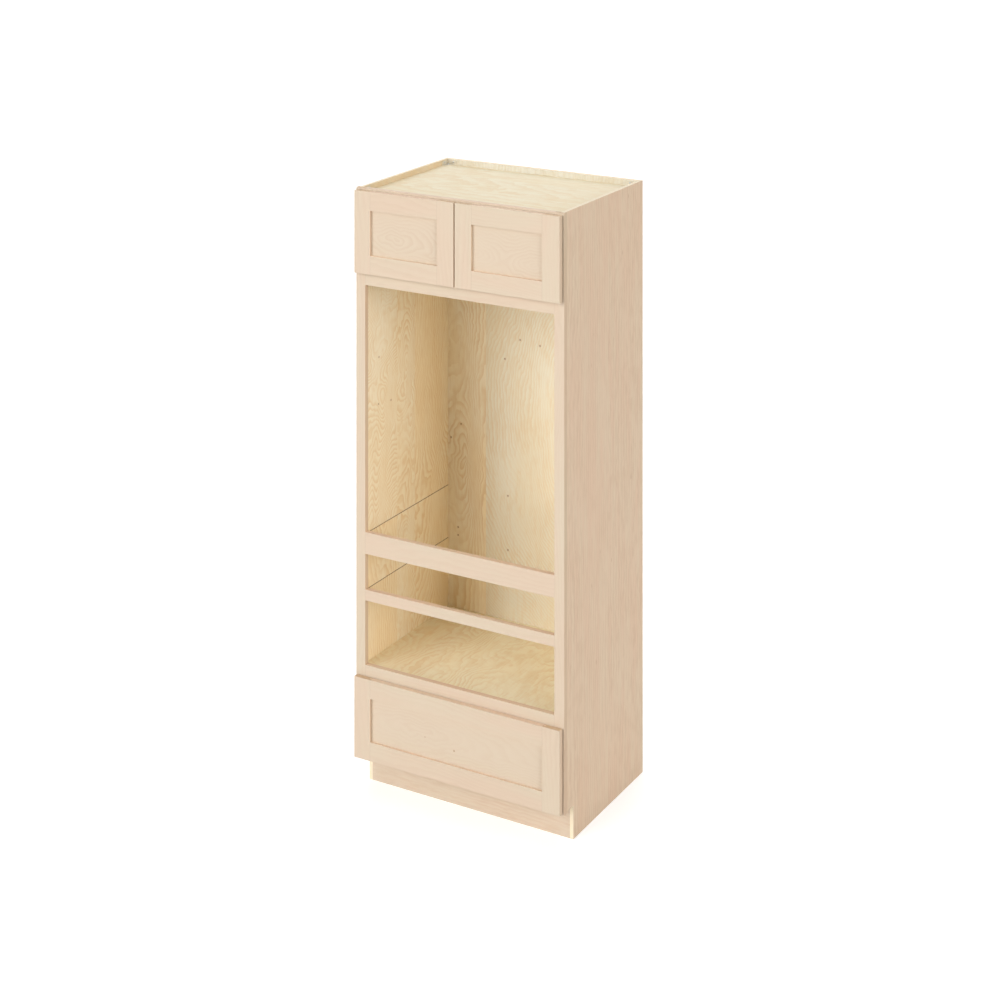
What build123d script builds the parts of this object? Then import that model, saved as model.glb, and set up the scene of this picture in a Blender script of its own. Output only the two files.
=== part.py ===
from build123d import *
import os

# Tall framed kitchen cabinet for a double wall oven, left unfinished.
# X runs across the front, Y from front to back and Z up, in millimetres.
# The origin is on the floor under the middle of the whole, doors included.
# A side of -1 is the left as seen from the front, and 1 is the right.

# Carcass
cabinet_width = 838.2
cabinet_depth = 609.6
side_thickness = 12.7
floor_thickness = 12.7
back_thickness = 6.35
hanging_rail_thickness = 12.7
hanging_rail_height = 76.2
toe_height = 114.3
toe_depth = 76.2
toe_board_thickness = 12.7
dado_depth = 6.35
floor_recess = 6.35  # a floor lies this far below the top of the rail before it
top_recess = 20.0
joint_gap = 0.1  # on each side of a tenon, dado or groove

# Lining boards inside the oven bay
liner_thickness = 3.2
liner_seam = 0.4
middle_seam_drop = 13.0  # below the top of the middle rail
oven_seam_drop = 16.5  # below the top of the oven rail

# Face frame, with its rails and openings from the bottom up
frame_thickness = 19.05
frame_overhang = 6.35  # the frame stands this far past each side panel
frame_groove_depth = 6.35
stile_width = 38.1
bottom_rail_height = 38.1
drawer_opening_height = 215.9
deck_rail_height = 76.2
lower_opening_height = 228.6
middle_rail_height = 38.1
middle_opening_height = 127.0
oven_rail_height = 76.2
oven_opening_height = 876.3
cupboard_rail_height = 76.2
cupboard_opening_height = 228.6
top_rail_height = 38.1
tenon_length = 12.7
tenon_thickness = 6.35
tenon_shoulder = 6.35
glue_room = 0.5  # at the bottom of a mortise
arris = 0.5  # easing on the outer front edges

# Doors and drawer front, five pieces each
front_thickness = 19.05
bumper_gap = 3.2
front_overlay = 31.75
drawer_top_overlay = 38.1
door_gap = 4.8
front_stile_width = 66.7
front_rail_height = 66.7
panel_recess = 9.5
panel_thickness = 6.35
panel_groove_depth = 7.9
panel_float = 0.8  # room for the panel to swell in its groove

# Concealed hinges
hinge_end_distance = 76.2
cup_radius = 17.5
cup_depth = 13.0
cup_wall = 1.0
cup_corner = 0.8
cup_inset = 21.5  # from the door's edge to the middle of the cup
cup_fit = 0.05
flange_thickness = 1.0
flange_start = 15.7  # from the door's edge
flange_width = 25.0
flange_height = 58.0
flange_corner = 6.0
cup_screw_inset = 31.0
cup_screw_spacing = 48.0
cup_screw_hole_radius = 2.1
pin_radius = 1.25
pin_clearance = 0.05
pin_inset = 7.9
pin_depth = 9.5  # from the back of the door
knuckle_wall = 0.9
knuckle_width = 7.0
lug_clearance = 0.3
lug_thickness = 4.5
lug_width = 6.0
lug_height = 5.5
arm_thickness = 1.2
arm_bend = 1.5
plate_thickness = 1.6
plate_height = 44.0
plate_setback = 2.0
plate_width = 15.0
plate_corner = 4.0
plate_screw_spacing = 28.0

# Screws
screw_radius = 1.75
screw_head_radius = 3.6
screw_head_height = 2.2
screw_head_round = 1.2
screw_recess_length = 4.0
screw_recess_width = 0.9
screw_recess_depth = 1.3
screw_fit = 0.05
plate_screw_depth = 14.0
front_screw_depth = 12.0
front_screw_spread = 500.0
front_screw_edge = 5.6

# Drawer box
box_clearance_below = 12.7
box_clearance_above = 12.7
box_board_thickness = 15.9
bottom_thickness = 6.35
bottom_raise = 12.7
bottom_groove_depth = 6.35
tail_pitch = 27.0
tail_slope = 1 / 7
pin_narrow_width = 7.0

# Ball slides
slide_rear_room = 55.15  # leaves a slide of 533.4, a stock length
slide_thickness = 12.7
slide_setback = 2.0
slide_raise = 76.2  # from the bottom of the drawer box to the middle of the slide
slide_steel = 1.2
slide_bend = 1.2
track_height = 45.0
track_width = 9.5
track_lip = 3.0
middle_web_gap = 0.8
middle_height = 36.0
middle_width = 8.0
runner_height = 26.0
runner_width = 8.1
race_clearance = 0.3
race_length = 250.0
race_width = 4.0
bracket_thickness = 1.5
bracket_height = 32.0
bracket_lap = 60.0
bracket_foot = 17.0
bracket_bend = 3.0

# Small plastic parts
brace_leg = 40.0
brace_height = 16.0
brace_wall = 2.5
bumper_radius = 4.8
bumper_round = 1.8
bumper_inset = 14.0
bumper_clearance = 0.2

# Places that follow from the sizes, across and from front to back
half_width = cabinet_width / 2
opening_half = half_width - stile_width
side_out = half_width - frame_overhang
side_in = side_out - side_thickness
front_half = opening_half + front_overlay
front_proud = front_thickness + bumper_gap
frame_front = (front_proud - cabinet_depth) / 2
frame_back = frame_front + frame_thickness
side_front = frame_back - frame_groove_depth
rear = frame_front + cabinet_depth
back_rear = rear - hanging_rail_thickness
back_front = back_rear - back_thickness
toe_front = frame_front + toe_depth
door_back = frame_front - bumper_gap
door_front = door_back - front_thickness
panel_front = door_front + panel_recess
panel_back = panel_front + panel_thickness

# Heights of the rails, from the bottom up
bottom_rail_top = toe_height + bottom_rail_height
deck_rail_bottom = bottom_rail_top + drawer_opening_height
deck_rail_top = deck_rail_bottom + deck_rail_height
middle_rail_bottom = deck_rail_top + lower_opening_height
middle_rail_top = middle_rail_bottom + middle_rail_height
oven_rail_bottom = middle_rail_top + middle_opening_height
oven_rail_top = oven_rail_bottom + oven_rail_height
cupboard_rail_bottom = oven_rail_top + oven_opening_height
cupboard_rail_top = cupboard_rail_bottom + cupboard_rail_height
top_rail_bottom = cupboard_rail_top + cupboard_opening_height
cabinet_height = top_rail_bottom + top_rail_height
rails = {
    "bottom_rail": (toe_height, bottom_rail_top),
    "deck_rail": (deck_rail_bottom, deck_rail_top),
    "middle_rail": (middle_rail_bottom, middle_rail_top),
    "oven_rail": (oven_rail_bottom, oven_rail_top),
    "cupboard_rail": (cupboard_rail_bottom, cupboard_rail_top),
    "top_rail": (top_rail_bottom, cabinet_height),
}

# Upper faces of the floors
bay_floor_top = bottom_rail_top - floor_recess
deck_top = deck_rail_top - floor_recess
cupboard_floor_top = cupboard_rail_top - floor_recess
top_panel_top = cabinet_height - top_recess
floors = {
    "drawer_bay_floor": bay_floor_top,
    "oven_deck": deck_top,
    "cupboard_floor": cupboard_floor_top,
    "top_panel": top_panel_top,
}

# Seams between the lining boards
middle_seam = middle_rail_top - middle_seam_drop
oven_seam = oven_rail_top - oven_seam_drop

# Doors, drawer front and drawer box
door_bottom = cupboard_rail_top - front_overlay
door_top = top_rail_bottom + front_overlay
drawer_front_bottom = bottom_rail_top - front_overlay
drawer_front_top = deck_rail_bottom + drawer_top_overlay
hinge_heights = (door_bottom + hinge_end_distance, door_top - hinge_end_distance)
pin_length = knuckle_width + 2 * (lug_clearance + lug_thickness)
box_half = opening_half - slide_thickness
box_inner_half = box_half - box_board_thickness
box_bottom = bottom_rail_top + box_clearance_below
box_top = deck_rail_bottom - box_clearance_above
slide_front = frame_front + slide_setback
slide_rear = back_front - slide_rear_room
slide_length = slide_rear - slide_front
box_front = door_back
box_rear = box_front + slide_length
box_inner_front = box_front + box_board_thickness
box_inner_rear = box_rear - box_board_thickness
bottom_middle = box_bottom + bottom_raise + bottom_thickness / 2
slide_height = box_bottom + slide_raise
front_screw_places = [
    (x, z)
    for x in (-front_screw_spread / 2, front_screw_spread / 2)
    for z in (box_bottom + front_screw_edge, box_top - front_screw_edge)
]

side_names = {-1: "left", 1: "right"}


def save(piece, name):
    piece.part.label = name
    export_step(piece.part, f"parts/{name}.step")


def facing_front(y):
    # A sketch plane seen from the front. What is extruded from it comes towards the front.
    return Plane.XZ.offset(-y)


def middle(low, high):
    return (low + high) / 2


# Carcass


def side_panel(side):
    with BuildPart() as panel:
        with BuildSketch(Plane.YZ.offset(side * side_in)):
            with BuildLine():
                Polyline(
                    (toe_front, 0),
                    (rear, 0),
                    (rear, cabinet_height),
                    (side_front, cabinet_height),
                    (side_front, toe_height),
                    (toe_front, toe_height),
                    close=True,
                )
            make_face()
        extrude(amount=side * side_thickness)
        # Dadoes for the floors, and the groove that holds the back
        with BuildSketch(Plane.YZ.offset(side * side_in)):
            for top in floors.values():
                with Locations((middle(side_front, back_front), top - floor_thickness / 2)):
                    Rectangle(back_front - side_front, floor_thickness + 2 * joint_gap)
            with Locations((middle(back_front, back_rear), cabinet_height / 2)):
                Rectangle(back_thickness + 2 * joint_gap, cabinet_height)
        extrude(amount=side * dado_depth, mode=Mode.SUBTRACT)
    return panel


def floor_panel(top):
    with BuildPart() as panel:
        with BuildSketch(Plane.XY.offset(top)):
            with Locations((0, middle(frame_back, back_front))):
                Rectangle(2 * (side_in + dado_depth - joint_gap), back_front - frame_back)
        extrude(amount=-floor_thickness)
    return panel


def back_board():
    with BuildPart() as board:
        with BuildSketch(facing_front(back_rear)):
            with Locations((0, cabinet_height / 2)):
                Rectangle(2 * (side_in + dado_depth - joint_gap), cabinet_height)
        extrude(amount=back_thickness)
    return board


def hanging_rails():
    # At the floor, half way up and at the top, behind the back
    half = hanging_rail_height / 2
    with BuildPart() as boards:
        with BuildSketch(facing_front(rear)):
            with Locations((0, half), (0, cabinet_height / 2), (0, cabinet_height - half)):
                Rectangle(2 * side_in, hanging_rail_height)
        extrude(amount=hanging_rail_thickness)
    return boards


def toe_kick_board():
    height = bay_floor_top - floor_thickness
    with BuildPart() as board:
        with BuildSketch(facing_front(toe_front)):
            with Locations((0, height / 2)):
                Rectangle(2 * side_in, height)
        extrude(amount=-toe_board_thickness)
    return board


def liner(side, bottom, top):
    with BuildPart() as board:
        with BuildSketch(Plane.YZ.offset(side * side_in)):
            with Locations((middle(frame_back, back_front), middle(bottom, top))):
                Rectangle(back_front - frame_back, top - bottom)
        extrude(amount=-side * liner_thickness)
    return board


def corner_braces():
    # Each has a leg along the side, a leg along the frame or the back, and a web on the top panel
    corners = [(side, y, inward) for side in (-1, 1) for y, inward in ((frame_back, 1), (back_front, -1))]
    with BuildPart() as braces:
        with BuildSketch(Plane.XY.offset(top_panel_top)):
            for side, y, inward in corners:
                x = side * side_in
                with BuildLine():
                    Polyline((x, y), (x - side * brace_leg, y), (x, y + inward * brace_leg), close=True)
                make_face()
        extrude(amount=brace_wall)
        with BuildSketch(Plane.XY.offset(top_panel_top)):
            for side, y, inward in corners:
                x = side * side_in
                with Locations((x - side * brace_leg / 2, y + inward * brace_wall / 2)):
                    Rectangle(brace_leg, brace_wall)
                with Locations((x - side * brace_wall / 2, y + inward * brace_leg / 2)):
                    Rectangle(brace_wall, brace_leg)
        extrude(amount=brace_height)
    return braces


# Face frame


def frame_stile(side):
    with BuildPart() as stile:
        with BuildSketch(facing_front(frame_back)):
            with Locations((side * middle(opening_half, half_width), middle(toe_height, cabinet_height))):
                Rectangle(stile_width, cabinet_height - toe_height)
        extrude(amount=frame_thickness)
        outer_front = stile.edges().filter_by(Axis.Z).group_by(Axis.Y)[0].sort_by(Axis.X)
        chamfer(outer_front[-1] if side > 0 else outer_front[0], length=arris)
        # Groove that takes the front edge of the side panel
        with BuildSketch(Plane.XY.offset(toe_height)):
            with Locations((side * middle(side_in, side_out), middle(side_front, frame_back))):
                Rectangle(side_thickness + 2 * joint_gap, frame_groove_depth)
        extrude(amount=cabinet_height - toe_height, mode=Mode.SUBTRACT)
        # A mortise for each rail
        with BuildSketch(Plane.YZ.offset(side * opening_half)):
            for bottom, top in rails.values():
                with Locations((middle(frame_front, frame_back), middle(bottom, top))):
                    Rectangle(
                        tenon_thickness + 2 * joint_gap,
                        top - bottom - 2 * tenon_shoulder + 2 * joint_gap,
                    )
        extrude(amount=side * (tenon_length + glue_room), mode=Mode.SUBTRACT)
        # Pilot holes for the hinge plates
        with BuildSketch(Plane.YZ.offset(side * opening_half)):
            with Locations(*plate_screw_places()):
                Circle(screw_radius + screw_fit)
        extrude(amount=side * (plate_screw_depth + screw_fit), mode=Mode.SUBTRACT)
    return stile


def frame_rail(bottom, top):
    with BuildPart() as rail:
        with BuildSketch(facing_front(frame_back)):
            with Locations((0, middle(bottom, top))):
                Rectangle(2 * opening_half, top - bottom)
        extrude(amount=frame_thickness)
        with BuildSketch(facing_front(middle(frame_front, frame_back) + tenon_thickness / 2)):
            with Locations((0, middle(bottom, top))):
                Rectangle(2 * (opening_half + tenon_length), top - bottom - 2 * tenon_shoulder)
        extrude(amount=tenon_thickness)
    return rail


# Five-piece doors and drawer front


def front_stile(outer, inner, bottom, top, cup_bores=()):
    inward = 1 if inner > outer else -1
    with BuildPart() as stile:
        with BuildSketch(facing_front(door_back)):
            with Locations((middle(outer, inner), middle(bottom, top))):
                Rectangle(abs(inner - outer), top - bottom)
        extrude(amount=front_thickness)
        face_edges = stile.edges().group_by(Axis.Y)[0]
        upright = face_edges.filter_by(Axis.Z).sort_by(Axis.X)
        outer_edge = upright[0] if inward > 0 else upright[-1]
        chamfer(face_edges.filter_by(Axis.X) + [outer_edge], length=arris)
        with BuildSketch(facing_front(panel_back + joint_gap)):
            with Locations((inner - inward * panel_groove_depth / 2, middle(bottom, top))):
                Rectangle(panel_groove_depth, top - bottom)
        extrude(amount=panel_thickness + 2 * joint_gap, mode=Mode.SUBTRACT)
        if cup_bores:
            with BuildSketch(facing_front(door_back)):
                with Locations(*cup_bores):
                    Circle(cup_radius + cup_fit)
            extrude(amount=cup_depth + cup_fit, mode=Mode.SUBTRACT)
    return stile


def front_rail(left, right, outer, inner, screw_bores=()):
    # Runs from stile to stile, with a stub tenon into the groove of each
    upward = 1 if inner > outer else -1
    with BuildPart() as rail:
        with BuildSketch(facing_front(door_back)):
            with Locations((middle(left, right), middle(outer, inner))):
                Rectangle(right - left, abs(inner - outer))
        extrude(amount=front_thickness)
        long_edges = rail.edges().group_by(Axis.Y)[0].filter_by(Axis.X).sort_by(Axis.Z)
        chamfer(long_edges[0] if upward > 0 else long_edges[-1], length=arris)
        with BuildSketch(facing_front(panel_back)):
            with Locations((middle(left, right), middle(outer, inner))):
                Rectangle(right - left + 2 * (panel_groove_depth - joint_gap), abs(inner - outer))
        extrude(amount=panel_thickness)
        with BuildSketch(facing_front(panel_back + joint_gap)):
            with Locations((middle(left, right), inner - upward * panel_groove_depth / 2)):
                Rectangle(right - left + 2 * panel_groove_depth, panel_groove_depth)
        extrude(amount=panel_thickness + 2 * joint_gap, mode=Mode.SUBTRACT)
        if screw_bores:
            with BuildSketch(facing_front(door_back)):
                with Locations(*screw_bores):
                    Circle(screw_radius + screw_fit)
            extrude(amount=front_screw_depth + screw_fit, mode=Mode.SUBTRACT)
    return rail


def front_panel(left, right, bottom, top):
    reach = panel_groove_depth - panel_float
    with BuildPart() as panel:
        with BuildSketch(facing_front(panel_back)):
            with Locations((middle(left, right), middle(bottom, top))):
                Rectangle(right - left + 2 * reach, top - bottom + 2 * reach)
        extrude(amount=panel_thickness)
    return panel


def save_door(side):
    name = side_names[side]
    hinge_edge = side * front_half
    hinge_inner = hinge_edge - side * front_stile_width
    meeting_edge = side * door_gap / 2
    meeting_inner = meeting_edge + side * front_stile_width
    left, right = sorted((hinge_inner, meeting_inner))
    panel_bottom = door_bottom + front_rail_height
    panel_top = door_top - front_rail_height
    hinge_stile = front_stile(hinge_edge, hinge_inner, door_bottom, door_top, cup_places(side))
    save(hinge_stile, f"{name}_door_hinge_stile")
    save(front_stile(meeting_edge, meeting_inner, door_bottom, door_top), f"{name}_door_meeting_stile")
    save(front_rail(left, right, door_top, panel_top), f"{name}_door_top_rail")
    save(front_rail(left, right, door_bottom, panel_bottom), f"{name}_door_bottom_rail")
    save(front_panel(left, right, panel_bottom, panel_top), f"{name}_door_panel")


def save_drawer_front():
    inner = front_half - front_stile_width
    panel_bottom = drawer_front_bottom + front_rail_height
    panel_top = drawer_front_top - front_rail_height
    for side, name in side_names.items():
        stile = front_stile(side * front_half, side * inner, drawer_front_bottom, drawer_front_top)
        save(stile, f"drawer_front_{name}_stile")
    ends = {"bottom": (drawer_front_bottom, panel_bottom), "top": (drawer_front_top, panel_top)}
    for name, (outer, edge) in ends.items():
        low, high = sorted((outer, edge))
        bores = [place for place in front_screw_places if low < place[1] < high]
        save(front_rail(-inner, inner, outer, edge, bores), f"drawer_front_{name}_rail")
    save(front_panel(-inner, inner, panel_bottom, panel_top), "drawer_front_panel")


# Concealed hinges, one pin each


def from_door_edge(side, distance):
    return side * (front_half - distance)


def cup_places(side):
    return [(from_door_edge(side, cup_inset), z) for z in hinge_heights]


def pin_place(side):
    return (from_door_edge(side, pin_inset), door_back - pin_depth)


def plate_screw_places():
    y = frame_front + plate_setback + plate_width / 2
    return [(y, z + dz) for z in hinge_heights for dz in (-plate_screw_spacing / 2, plate_screw_spacing / 2)]


def hinge_cups(side):
    cup_floor = door_back - cup_depth + cup_wall
    pin_x, pin_y = pin_place(side)
    lug_offset = knuckle_width / 2 + lug_clearance + lug_thickness / 2
    with BuildPart() as cups:
        with BuildSketch(facing_front(door_back)):
            with Locations(*cup_places(side)):
                Circle(cup_radius)
        extrude(amount=cup_depth)
        fillet(cups.edges().group_by(Axis.Y)[0], radius=cup_corner)
        # Flange on the back of the door, kept clear of the swinging arm
        with BuildSketch(facing_front(door_back + flange_thickness)):
            x = from_door_edge(side, flange_start + flange_width / 2)
            with Locations(*[(x, z) for z in hinge_heights]):
                RectangleRounded(flange_width, flange_height, flange_corner)
            x = from_door_edge(side, cup_screw_inset)
            half = cup_screw_spacing / 2
            with Locations(*[(x, z + dz) for z in hinge_heights for dz in (-half, half)]):
                Circle(cup_screw_hole_radius, mode=Mode.SUBTRACT)
        extrude(amount=flange_thickness)
        with BuildSketch(facing_front(door_back + flange_thickness)):
            with Locations(*cup_places(side)):
                Circle(cup_radius - cup_wall)
        extrude(amount=flange_thickness + cup_depth - cup_wall, mode=Mode.SUBTRACT)
        # Two lugs in each cup hold the ends of its pin
        with BuildSketch(facing_front(cup_floor)):
            with Locations(*[(pin_x, z + dz) for z in hinge_heights for dz in (-lug_offset, lug_offset)]):
                Rectangle(lug_width, lug_thickness)
            with Locations(*cup_places(side)):
                Circle(cup_radius - cup_wall / 2, mode=Mode.INTERSECT)
        extrude(amount=-lug_height)
        for z in hinge_heights:
            with BuildSketch(Plane.XY.offset(z - pin_length / 2 - joint_gap)):
                with Locations((pin_x, pin_y)):
                    Circle(pin_radius + pin_clearance)
            extrude(amount=pin_length + 2 * joint_gap, mode=Mode.SUBTRACT)
    return cups


def hinge_pins(side):
    with BuildPart() as pins:
        for z in hinge_heights:
            with BuildSketch(Plane.XY.offset(z - pin_length / 2)):
                with Locations(pin_place(side)):
                    Circle(pin_radius)
            extrude(amount=pin_length)
    return pins


def hinge_arms(side):
    # From the knuckle on the pin, low in the cup, out past the door and on to a plate on the stile
    pin_x, pin_y = pin_place(side)
    knuckle_radius = pin_radius + pin_clearance + knuckle_wall
    low_y = pin_y - knuckle_radius + arm_thickness / 2
    upright_x = side * (opening_half - arm_thickness / 2)
    plate_y = frame_front + plate_setback
    with BuildPart() as arms:
        for z in hinge_heights:
            with BuildSketch(Plane.XY.offset(z - knuckle_width / 2)):
                with BuildLine():
                    FilletPolyline(
                        (pin_x, low_y),
                        (upright_x, low_y),
                        (upright_x, plate_y + plate_width),
                        radius=arm_bend,
                    )
                trace(line_width=arm_thickness)
                with Locations((pin_x, pin_y)):
                    Circle(knuckle_radius)
                    Circle(pin_radius + pin_clearance, mode=Mode.SUBTRACT)
            extrude(amount=knuckle_width)
        with BuildSketch(Plane.YZ.offset(side * opening_half)):
            with Locations(*[(plate_y + plate_width / 2, z) for z in hinge_heights]):
                RectangleRounded(plate_width, plate_height, plate_corner)
            with Locations(*plate_screw_places()):
                Circle(screw_radius + screw_fit, mode=Mode.SUBTRACT)
        extrude(amount=-side * plate_thickness)
    return arms


def screws(plane, places, outward, depth):
    # Pan heads with a cross recess. They stand in front of the plane where outward is 1, else behind it.
    with BuildPart() as group:
        with BuildSketch(plane):
            with Locations(*places):
                Circle(screw_head_radius)
        extrude(amount=outward * screw_head_height)
        circles = group.edges().group_by(Axis(plane.origin, plane.z_dir))
        fillet(circles[-1] if outward > 0 else circles[0], radius=screw_head_round)
        with BuildSketch(plane.offset(outward * screw_head_height)):
            with Locations(*places):
                Rectangle(screw_recess_length, screw_recess_width)
                Rectangle(screw_recess_width, screw_recess_length)
        extrude(amount=-outward * screw_recess_depth, mode=Mode.SUBTRACT)
        with BuildSketch(plane):
            with Locations(*places):
                Circle(screw_radius)
        extrude(amount=-outward * depth)
    return group


def hinge_plate_screws():
    # Through the plates of both doors, into the inner edges of the stiles
    with BuildPart() as both_sides:
        for side in (-1, 1):
            plane = Plane.YZ.offset(side * (opening_half - plate_thickness))
            group = screws(plane, plate_screw_places(), -side, plate_thickness + plate_screw_depth)
            add(group.part)
    return both_sides


# Dovetailed drawer box


def tail_outlines(end, shoulder, grow):
    # Adds the tails of one corner to the sketch in hand, which lies across X
    height = box_top - box_bottom
    count = round(height / tail_pitch)
    pitch = height / count
    wide = (pitch - pin_narrow_width) / 2 + grow
    narrow = wide - abs(end - shoulder) * tail_slope
    for i in range(count):
        z = box_bottom + (i + 0.5) * pitch
        Polygon((shoulder, z - narrow), (end, z - wide), (end, z + wide), (shoulder, z + narrow), align=None)


def box_side(side):
    with BuildPart() as board:
        with BuildSketch(Plane.YZ.offset(side * box_inner_half)):
            with Locations((middle(box_inner_front, box_inner_rear), middle(box_bottom, box_top))):
                Rectangle(box_inner_rear - box_inner_front, box_top - box_bottom)
            tail_outlines(box_front, box_inner_front, 0)
            tail_outlines(box_rear, box_inner_rear, 0)
        extrude(amount=side * box_board_thickness)
        with BuildSketch(Plane.YZ.offset(side * box_inner_half)):
            with Locations((middle(box_inner_front, box_inner_rear), bottom_middle)):
                Rectangle(
                    box_inner_rear - box_inner_front + 2 * bottom_groove_depth,
                    bottom_thickness + 2 * joint_gap,
                )
        extrude(amount=side * bottom_groove_depth, mode=Mode.SUBTRACT)
    return board


def box_end(outer, inner, screw_bores=()):
    # The front or back of the box: sockets at both ends leave the pins between the tails
    backward = 1 if outer > inner else -1
    with BuildPart() as board:
        with BuildSketch(facing_front(max(outer, inner))):
            with Locations((0, middle(box_bottom, box_top))):
                Rectangle(2 * box_half, box_top - box_bottom)
        extrude(amount=box_board_thickness)
        for side in (-1, 1):
            with BuildSketch(Plane.YZ.offset(side * box_inner_half)):
                tail_outlines(outer, inner, joint_gap)
            extrude(amount=side * box_board_thickness, mode=Mode.SUBTRACT)
        with BuildSketch(facing_front(inner)):
            with Locations((0, bottom_middle)):
                Rectangle(2 * (box_inner_half + bottom_groove_depth), bottom_thickness + 2 * joint_gap)
        extrude(amount=-backward * bottom_groove_depth, mode=Mode.SUBTRACT)
        if screw_bores:
            with BuildSketch(facing_front(inner)):
                with Locations(*screw_bores):
                    Circle(screw_radius + screw_fit)
            extrude(amount=box_board_thickness, mode=Mode.SUBTRACT)
    return board


def box_bottom_panel():
    reach = bottom_groove_depth - joint_gap
    with BuildPart() as panel:
        with BuildSketch(Plane.XY.offset(box_bottom + bottom_raise)):
            with Locations((0, middle(box_inner_front, box_inner_rear))):
                Rectangle(2 * (box_inner_half + reach), box_inner_rear - box_inner_front + 2 * reach)
        extrude(amount=bottom_thickness)
    return panel


def save_drawer_box():
    for side in (-1, 1):
        save(box_side(side), f"drawer_box_{side_names[side]}")
    save(box_end(box_front, box_inner_front, front_screw_places), "drawer_box_front")
    save(box_end(box_rear, box_inner_rear), "drawer_box_back")
    save(box_bottom_panel(), "drawer_box_bottom")
    depth = box_board_thickness + front_screw_depth
    save(screws(facing_front(box_inner_front), front_screw_places, -1, depth), "drawer_front_screws")


# Ball slides: a track on the frame, a middle member, and a runner on the drawer box


def slide_place(side, across, up):
    # Across is measured from the inner edge of the frame's stile towards the drawer
    return (side * (opening_half - across), slide_height + up)


def rolled_member(side, web, flange_end, height, lip=0, races=()):
    # A strip of steel bent into a channel, with lips turned in where lip is not 0.
    # Each race is a pair of strips for the balls: its rear end, place across, and low and high edges.
    half = height / 2 - slide_steel / 2
    points = [(flange_end, -half), (web, -half), (web, half), (flange_end, half)]
    if lip:
        points = [(flange_end, lip - half), *points, (flange_end, half - lip)]
    with BuildPart() as member:
        with BuildSketch(facing_front(slide_rear)):
            with BuildLine():
                FilletPolyline(*[slide_place(side, across, up) for across, up in points], radius=slide_bend)
            trace(line_width=slide_steel)
        extrude(amount=slide_length)
        for race_rear, across, low, high in races:
            with BuildSketch(facing_front(race_rear)):
                for up in (middle(low, high), -middle(low, high)):
                    with Locations(slide_place(side, across, up)):
                        Rectangle(race_width, high - low)
            extrude(amount=race_length)
    return member


def slide_track(side):
    return rolled_member(side, slide_steel / 2, track_width - slide_steel / 2, track_height, track_lip)


def slide_middle(side):
    start = slide_steel + middle_web_gap
    end = start + middle_width
    # One race runs in the track over the rear half, the other round the runner over the front half
    outer_race = (
        slide_rear,
        middle(start, track_width - slide_steel),
        middle_height / 2,
        track_height / 2 - slide_steel - race_clearance,
    )
    inner_race = (
        slide_front + race_length,
        middle(slide_thickness - runner_width, end),
        runner_height / 2 + race_clearance,
        middle_height / 2 - slide_steel,
    )
    return rolled_member(side, start + slide_steel / 2, end, middle_height, races=(outer_race, inner_race))


def slide_runner(side):
    web = slide_thickness - slide_steel / 2
    return rolled_member(side, web, slide_thickness - runner_width, runner_height)


def slide_brackets():
    # From the outer face of each track back to a foot on the back panel
    half = bracket_thickness / 2
    with BuildPart() as brackets:
        with BuildSketch(Plane.XY.offset(slide_height - bracket_height / 2)):
            for side in (-1, 1):
                x = side * (opening_half + half)
                with BuildLine():
                    FilletPolyline(
                        (x, slide_rear - bracket_lap),
                        (x, back_front - half),
                        (x + side * bracket_foot, back_front - half),
                        radius=bracket_bend,
                    )
                trace(line_width=bracket_thickness)
        extrude(amount=bracket_height)
    return brackets


def bumpers():
    # Soft domes on the frame, two behind each door and four behind the drawer front
    door_x = door_gap / 2 + bumper_inset
    drawer_x = front_half - bumper_inset
    door_heights = (door_bottom + bumper_inset, door_top - bumper_inset)
    places = [(x, z) for x in (-door_x, door_x) for z in door_heights]
    drawer_heights = (drawer_front_bottom + bumper_inset, drawer_front_top - bumper_inset)
    places += [(x, z) for x in (-drawer_x, drawer_x) for z in drawer_heights]
    with BuildPart() as domes:
        with BuildSketch(facing_front(frame_front)):
            with Locations(*places):
                Circle(bumper_radius)
        extrude(amount=bumper_gap - bumper_clearance)
        fillet(domes.edges().group_by(Axis.Y)[0], radius=bumper_round)
    return domes


# Writing the pieces

os.makedirs("parts", exist_ok=True)
for name, top in floors.items():
    save(floor_panel(top), name)
for name, (bottom, top) in rails.items():
    save(frame_rail(bottom, top), name)
save(back_board(), "back_panel")
save(hanging_rails(), "hanging_rails")
save(toe_kick_board(), "toe_kick_board")
save(corner_braces(), "corner_braces")
save(bumpers(), "bumpers")
save(slide_brackets(), "slide_brackets")
save(hinge_plate_screws(), "hinge_plate_screws")
liners = {
    "lower_liner": (deck_top, middle_seam - liner_seam / 2),
    "middle_liner": (middle_seam + liner_seam / 2, oven_seam - liner_seam / 2),
    "upper_liner": (oven_seam + liner_seam / 2, cupboard_floor_top - floor_thickness),
}
for side, name in side_names.items():
    save(side_panel(side), f"{name}_side_panel")
    save(frame_stile(side), f"{name}_stile")
    for liner_name, (bottom, top) in liners.items():
        save(liner(side, bottom, top), f"{name}_{liner_name}")
    save(hinge_arms(side), f"{name}_hinge_arms")
    save(hinge_cups(side), f"{name}_hinge_cups")
    save(hinge_pins(side), f"{name}_hinge_pins")
    save(slide_track(side), f"{name}_slide_track")
    save(slide_middle(side), f"{name}_slide_middle")
    save(slide_runner(side), f"{name}_slide_runner")
    save_door(side)
save_drawer_front()
save_drawer_box()
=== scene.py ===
import bmesh
import bpy
import math
import random
from mathutils import Matrix, Vector


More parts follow.
